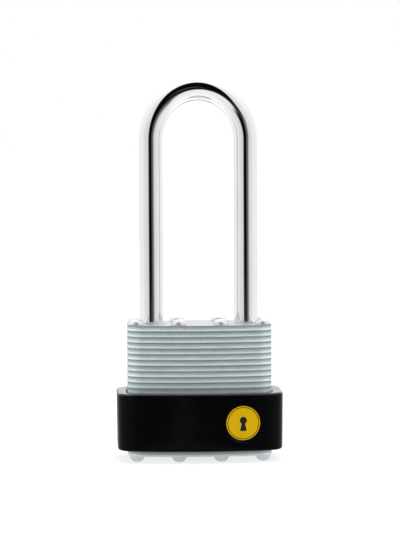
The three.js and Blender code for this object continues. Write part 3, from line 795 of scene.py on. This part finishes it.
# ------------------------------------------------------------------ cylinder plug: stepped nose, warded keyway
def plug_mesh():
    shoulder, z1 = plate_z(1) + PLATE_T + 0.06, plate_z(13) + PLATE_T - 0.15
    nose = Z0 + 0.25
    slot = [(0.80, None), (0.80, -2.9), (0.30, -2.55), (0.30, -1.75), (0.80, -1.45), (0.80, -0.35), (0.42, -0.05), (0.42, 1.75), (0.30, 2.0),
            (-0.55, 2.0), (-0.62, 1.75), (-0.62, 0.75), (-0.18, 0.45), (-0.18, -0.65), (-0.80, -0.95), (-0.80, None)]

    def outline(r):
        pts = []
        a0 = -math.acos(0.80 / r)                      # right wall meets the rim
        a1 = -math.pi + math.acos(0.80 / r)            # left wall meets the rim
        for x, y in slot[1:-1][::-1]:
            pts.append((x, y))
        pts.reverse()
        inner = pts                                    # from the right wall, round the slot, to the left wall
        arc, n = [], 72
        for k in range(n + 1):                         # counter-clockwise from the right wall over the top to the left wall
            a = a0 + (2 * math.pi + a1 - a0) * k / n
            arc.append((r * math.cos(a), r * math.sin(a)))
        return arc + inner[::-1]

    def body(levels, verts, faces):
        start = []
        for r, z in levels:
            start.append(len(verts))
            ring = outline(r)
            n = len(ring)
            verts += [(x, y, z) for x, y in ring]
        for a, b in zip(start, start[1:]):
            for k in range(n):
                k1 = (k + 1) % n
                faces.append((a + k, a + k1, b + k1, b + k))
        for s, up in ((start[0], False), (start[-1], True)):
            tris = tessellate_polygon([[Vector((verts[s + k][0], verts[s + k][1], 0)) for k in range(n)]])
            for tri in tris:
                a, b, c = (s + q for q in tri)
                (ax, ay, _), (bx, by, _), (cx, cy, _) = verts[a], verts[b], verts[c]
                ccw = (bx - ax) * (cy - ay) - (cx - ax) * (by - ay) > 0
                faces.append((a, b, c) if ccw == up else (a, c, b))

    verts, faces = [], []
    body([(3.80, nose), (3.93, nose + 0.05), (4.0, nose + 0.18), (4.0, shoulder), (4.5, shoulder), (4.5, z1)], verts, faces)
    return verts, faces


v, f = plug_mesh()
make("cylinder_plug_fine", v, f, 30, "plug", ["cylinder_plug"], BRASS)

# ------------------------------------------------------------------ turned pins and coil springs of the cylinder
def along(verts, axis, origin):
    out = []
    for x, y, z in verts:
        if axis == "x":
            out.append((origin[0] + z, origin[1] + x, origin[2] + y))
        else:
            out.append((origin[0] + y, origin[1] + z, origin[2] + x))
    return out


PIN_R = 1.1
for i in range(1, 5):
    lo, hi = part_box("driver_pin_%d" % i)
    L, zc = (hi.x - lo.x) * 1000, (lo.z + hi.z) / 2 * 1000
    v, f = revolve([(0, 0), (PIN_R - 0.25, 0), (PIN_R - 0.08, 0.06), (PIN_R, 0.22), (PIN_R, L * 0.35), (PIN_R - 0.18, L * 0.42), (PIN_R - 0.18, L * 0.62), (PIN_R, L * 0.69), (PIN_R, L - 0.15), (PIN_R - 0.12, L), (0, L)], 32)
    make("driver_pin_%d_fine" % i, along(v, "x", (lo.x * 1000, 0, zc)), f, 35, "lock_body", ["driver_pin_%d" % i], BRASS)
    lo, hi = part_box("key_pin_%d" % i)
    L, zc = (hi.y - lo.y) * 1000, (lo.z + hi.z) / 2 * 1000
    v, f = revolve([(0, 0), (0.22, 0.02), (0.40, 0.12), (PIN_R - 0.05, 0.72), (PIN_R, 0.82), (PIN_R, L - 0.2), (PIN_R - 0.1, L - 0.06), (PIN_R - 0.3, L), (0, L)], 32)
    make("key_pin_%d_fine" % i, along(v, "y", (0, lo.y * 1000, zc)), f, 35, "plug", ["key_pin_%d" % i], BRASS)


def coil(radius, wire, length, turns, per=28):
    pts = []
    n = int(turns * per)
    for k in range(n + 1):
        t = k / n
        e = min(1.0, max(0.0, (t * turns - 0.75) / (turns - 1.5)))      # closed end turns
        pts.append((radius * math.cos(2 * math.pi * turns * t), radius * math.sin(2 * math.pi * turns * t),
                    wire + 0.15 * wire * min(1, t * turns / 0.75) + (length - 2 * wire - 0.3 * wire) * e + 0.15 * wire * min(1, max(0, (t - 1) * turns / 0.75 + 1))))
    return pts


def spring(node, axis, wire, turns, body):
    lo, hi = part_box(node)
    lo, hi = lo * 1000, hi * 1000
    if axis == "x":
        L, c, r = hi.x - lo.x, (lo.x, (lo.y + hi.y) / 2, (lo.z + hi.z) / 2), min(hi.y - lo.y, hi.z - lo.z) / 2 - wire
    else:
        L, c, r = hi.z - lo.z, ((lo.x + hi.x) / 2, (lo.y + hi.y) / 2, lo.z), min(hi.x - lo.x, hi.y - lo.y) / 2 - wire
    pts = coil(r, wire, L, turns)
    if axis == "x":
        pts = [(c[0] + z, c[1] + x, c[2] + y) for x, y, z in pts]
    else:
        pts = [(c[0] + x, c[1] + y, c[2] + z) for x, y, z in pts]
    v, f = sweep(pts, wire, 10)
    return make(node + "_wire", v, f, 50, body, [node], SPRING)


for i in range(1, 5):
    spring("pin_spring_%d" % i, "x", 0.18, 5, "lock_body")
spring("shackle_spring", "z", 0.4, 7, "lock_body")
spring("lever_spring", "x", 0.18, 5, "heel_lever")

# ------------------------------------------------------------------ housing, cover, cam and levers: eased edges on the solids' own shapes
for name in ("cylinder_housing", "chamber_cover", "cam", "toe_lever", "heel_lever"):
    mod = NODES[name].modifiers.new("eased", "BEVEL")
    mod.limit_method, mod.angle_limit, mod.width, mod.segments = "ANGLE", math.radians(50), 0.00008, 2

# ------------------------------------------------------------------ floor, light and air
def stage_plane(name, size, z=0.0):
    n, verts, faces = 64, [(0, 0, z)], []
    verts += [(size * math.cos(2 * math.pi * k / n), size * math.sin(2 * math.pi * k / n), z) for k in range(n)]
    faces = [(0, 1 + k, 1 + (k + 1) % n) for k in range(n)]
    o = make(name, verts, faces, None, scale=1.0)
    return o


floor = stage_plane("floor", 6.0, -0.00002)
fm, fnt, fb = new_material("pale_floor")
FN = Net(fnt)
fgrain = FN.noise(FN.coords((40, 40, 40)), 1.0, 3.0, 0.5)
FN.put(fb.inputs["Base Color"], FN.ramp(fgrain, [(0.3, (0.29, 0.29, 0.29)), (0.7, (0.31, 0.31, 0.31))]))
fb.inputs["Roughness"].default_value = 0.9
fb.inputs["Specular IOR Level"].default_value = 0.0
fb.inputs["Emission Color"].default_value = (1.0, 1.0, 1.0, 1)
fb.inputs["Emission Strength"].default_value = 0.72
# seen from underneath the floor is clear, so that the lock's underside can be looked at
fclear = fnt.nodes.new("ShaderNodeBsdfTransparent")
fmix = fnt.nodes.new("ShaderNodeMixShader")
fout = [n for n in fnt.nodes if n.type == "OUTPUT_MATERIAL"][0]
fnt.links.new(FN.geometry("Backfacing"), fmix.inputs[0])
fnt.links.new(fb.outputs[0], fmix.inputs[1])
fnt.links.new(fclear.outputs[0], fmix.inputs[2])
fnt.links.new(fmix.outputs[0], fout.inputs[0])
floor.data.materials.append(fm)
floor.visible_glossy = False

# what the underside mirrors: the shaded floor right below the lock
mat_disc = stage_plane("shade_below", 0.034, 0.0)
mm_, mnt, mb = new_material("shade_below")
MN = Net(mnt)
mx, my, mz = MN.xyz()
mr = MN.math("SQRT", MN.math("ADD", MN.math("MULTIPLY", mx, mx), MN.math("MULTIPLY", my, my)))
mb.inputs["Base Color"].default_value = (0, 0, 0, 1)
mb.inputs["Specular IOR Level"].default_value = 0.0
MN.put(mb.inputs["Emission Color"], MN.ramp(MN.math("DIVIDE", mr, 0.034), [(0.0, (0.42, 0.46, 0.45)), (0.6, (0.56, 0.60, 0.59)), (1.0, (0.82, 0.84, 0.83))]))
mb.inputs["Emission Strength"].default_value = 1.0
mat_disc.data.materials.append(mm_)
mat_disc.visible_camera = False
mat_disc.visible_diffuse = False
mat_disc.visible_shadow = False
mat_disc.visible_transmission = False

world = bpy.data.worlds.new("air")
bpy.context.scene.world = world
world.use_nodes = True
wn = world.node_tree
wn.nodes.clear()
wout = wn.nodes.new("ShaderNodeOutputWorld")
W = Net(wn)
gen = W.tc.outputs["Generated"]
dx, dy, dz = W.xyz(gen)
LOOK = math.radians(-2.4)                      # the room is laid out round the line from the lock to the camera's side
fx = W.math("ADD", W.math("MULTIPLY", dx, math.cos(LOOK)), W.math("MULTIPLY", dy, math.sin(LOOK)))
fy = W.math("ADD", W.math("MULTIPLY", dx, math.sin(LOOK)), W.math("MULTIPLY", dy, -math.cos(LOOK)))
fz = W.math("SUBTRACT", dz, W.math("MULTIPLY", fy, 0.009))
psi = W.math("MULTIPLY", W.math("ARCCOSINE", fy), 180 / math.pi)
az = W.math("MULTIPLY", W.math("ARCTAN2", fx, fy), 180 / math.pi)
el = W.math("MULTIPLY", W.math("ARCSINE", fz), 180 / math.pi)
rad = W.math("SQRT", W.math("ADD", W.math("MULTIPLY", fx, fx), W.math("MULTIPLY", fz, fz)))
sina = W.math("MINIMUM", W.math("MAXIMUM", W.math("DIVIDE", fz, W.math("MAXIMUM", rad, 0.0001)), 0.0), 1.0)
# bright round room, a little darker towards the front
base = W.ramp(W.math("DIVIDE", psi, 180.0), [(0.0, 0.70), (0.17, 0.72), (0.33, 0.78), (0.44, 0.89), (0.60, 0.93), (0.75, 0.91), (1.0, 0.90)])
# low dark patch in front (across), measured in degrees
across = W.ramp(W.math("DIVIDE", W.math("ADD", az, 60.0), 120.0),
                [(0.0, 1.0), (0.255, 1.0), (0.30, 0.85), (0.345, 0.20), (0.385, 0.0), (0.525, 0.0), (0.56, 0.04), (0.60, 0.12), (0.68, 0.20), (0.74, 0.45), (0.80, 0.95), (0.85, 1.0), (1.0, 1.0)])
floor_of = W.math("ADD", el, W.math("MULTIPLY", W.math("ABSOLUTE", W.math("ADD", az, 2.0)), 0.62))
low = W.math("MULTIPLY", W.mapr(floor_of, -9.0, -3.0, 0.0, 1.0, True), W.mapr(el, 8.0, 14.0, 1.0, 0.0, True))
low = W.math("MULTIPLY", low, W.mapr(fy, 0.0, 0.2, 0.0, 1.0))
# dark arch over the front light, leaning to the right
side = W.mapr(fx, -0.06, 0.06, 0.0, 1.0, True)


def between(left, right_):
    return W.math("ADD", W.math("MULTIPLY", left, W.math("SUBTRACT", 1.0, side)), W.math("MULTIPLY", right_, side))


psi1 = W.math("MULTIPLY", W.math("POWER", sina, 3.0), 20.0)
psi2 = between(W.math("ADD", W.math("MULTIPLY", W.math("POWER", sina, 2.0), 46.0), 18.0),
               W.math("ADD", W.math("MULTIPLY", W.math("POWER", sina, 3.0), 46.0), 18.0))
arch = W.math("MULTIPLY", W.mapr(W.math("SUBTRACT", psi, psi1), -4.0, 3.0, 0.93, 1.0, True),
              W.mapr(W.math("SUBTRACT", psi, psi2), -4.0, 4.0, 1.0, 0.0, True))
arch = W.math("MULTIPLY", arch, W.mapr(el, 2.0, 6.0, 0.0, 1.0, True))
steep = W.math("DIVIDE", fz, W.math("MAXIMUM", rad, 0.0001))
high = W.math("ADD", W.math("MULTIPLY", W.math("MULTIPLY", steep, steep), 0.30), 1.0)
base = W.mix(1.0, base, high, "MULTIPLY")
dark = W.mix(low, (1.0, 1.0, 1.0), across)
azb = W.math("MULTIPLY", W.math("ABSOLUTE", W.math("ARCTAN2", fx, W.math("MULTIPLY", fy, -1.0))), 180 / math.pi)
behind = W.math("MULTIPLY", W.mapr(azb, 9.0, 17.0, 1.0, 0.0, True), W.math("MULTIPLY", W.mapr(el, -40.0, -25.0, 0.0, 1.0, True), W.mapr(el, -1.0, 2.0, 1.0, 0.0, True)))
base = W.mix(behind, base, (0.01, 0.01, 0.012))
glossy = W.mix(arch, W.mix(1.0, base, dark, "MULTIPLY"), (0.0016, 0.0012, 0.0030))
plain = wn.nodes.new("ShaderNodeBackground")
plain.inputs["Color"].default_value = (1.0, 1.0, 1.0, 1)
plain.inputs["Strength"].default_value = 1.0
shaped = wn.nodes.new("ShaderNodeBackground")
wn.links.new(glossy, shaped.inputs["Color"])
shaped.inputs["Strength"].default_value = 1.05
soft = wn.nodes.new("ShaderNodeBackground")
soft.inputs["Color"].default_value = (0.96, 0.98, 1.0, 1)
soft.inputs["Strength"].default_value = 1.0
path = wn.nodes.new("ShaderNodeLightPath")
mix1 = wn.nodes.new("ShaderNodeMixShader")
mix2 = wn.nodes.new("ShaderNodeMixShader")
wn.links.new(path.outputs["Is Glossy Ray"], mix1.inputs[0])
wn.links.new(soft.outputs[0], mix1.inputs[1])
wn.links.new(shaped.outputs[0], mix1.inputs[2])
wn.links.new(path.outputs["Is Camera Ray"], mix2.inputs[0])
wn.links.new(mix1.outputs[0], mix2.inputs[1])
wn.links.new(plain.outputs[0], mix2.inputs[2])
wn.links.new(mix2.outputs[0], wout.inputs[0])


def area(name, at, aim, size, power, colour=(1, 1, 1), glossy=False):
    d = bpy.data.lights.new(name, "AREA")
    d.shape, d.size, d.energy, d.color = "DISK", size, power, colour
    o = bpy.data.objects.new(name, d)
    bpy.context.scene.collection.objects.link(o)
    o.location = at
    o.rotation_euler = (Vector(aim) - Vector(at)).to_track_quat("-Z", "Y").to_euler()
    o.visible_camera = False
    o.visible_glossy = glossy
    return o


area("top_soft", (0.05, -0.15, 0.75), (0, 0, 0.03), 0.7, 3.2)
area("left_soft", (-0.65, -0.45, 0.45), (0, 0, 0.04), 0.5, 1.3)
area("right_soft", (0.65, -0.35, 0.40), (0, 0, 0.04), 0.5, 0.9)

# ------------------------------------------------------------------ camera
AZ, EL, DIST, F_PX, TX, TZ, ROLL = -2.406, 3.292, 0.700, 2508.6, 0.413, -2.046, -0.26
a, e, r = math.radians(AZ), math.radians(EL), math.radians(ROLL)
back = Vector((math.sin(a) * math.cos(e), -math.cos(a) * math.cos(e), math.sin(e)))
right = Vector((math.cos(a), math.sin(a), 0))
up = back.cross(right)
target = Vector((0, 0, 0.054)) + right * TX * MM + up * TZ * MM
r2 = right * math.cos(r) + up * math.sin(r)
u2 = up * math.cos(r) - right * math.sin(r)
cam = bpy.data.cameras.new("view")
cam.sensor_width = 36
cam.lens = F_PX * 36 / 546
cam.clip_start, cam.clip_end = 0.01, 20
camera = bpy.data.objects.new("view", cam)
bpy.context.scene.collection.objects.link(camera)
rot = Matrix((r2, u2, back)).transposed().to_4x4()
camera.matrix_world = Matrix.Translation(target + back * DIST) @ rot
bpy.context.scene.camera = camera

bpy.context.scene.view_settings.view_transform = "Standard"
bpy.context.scene.view_settings.look = "None"
bpy.context.scene.view_settings.exposure = 0.0
bpy.context.scene.view_settings.gamma = 1.0

bpy.context.view_layer.update()
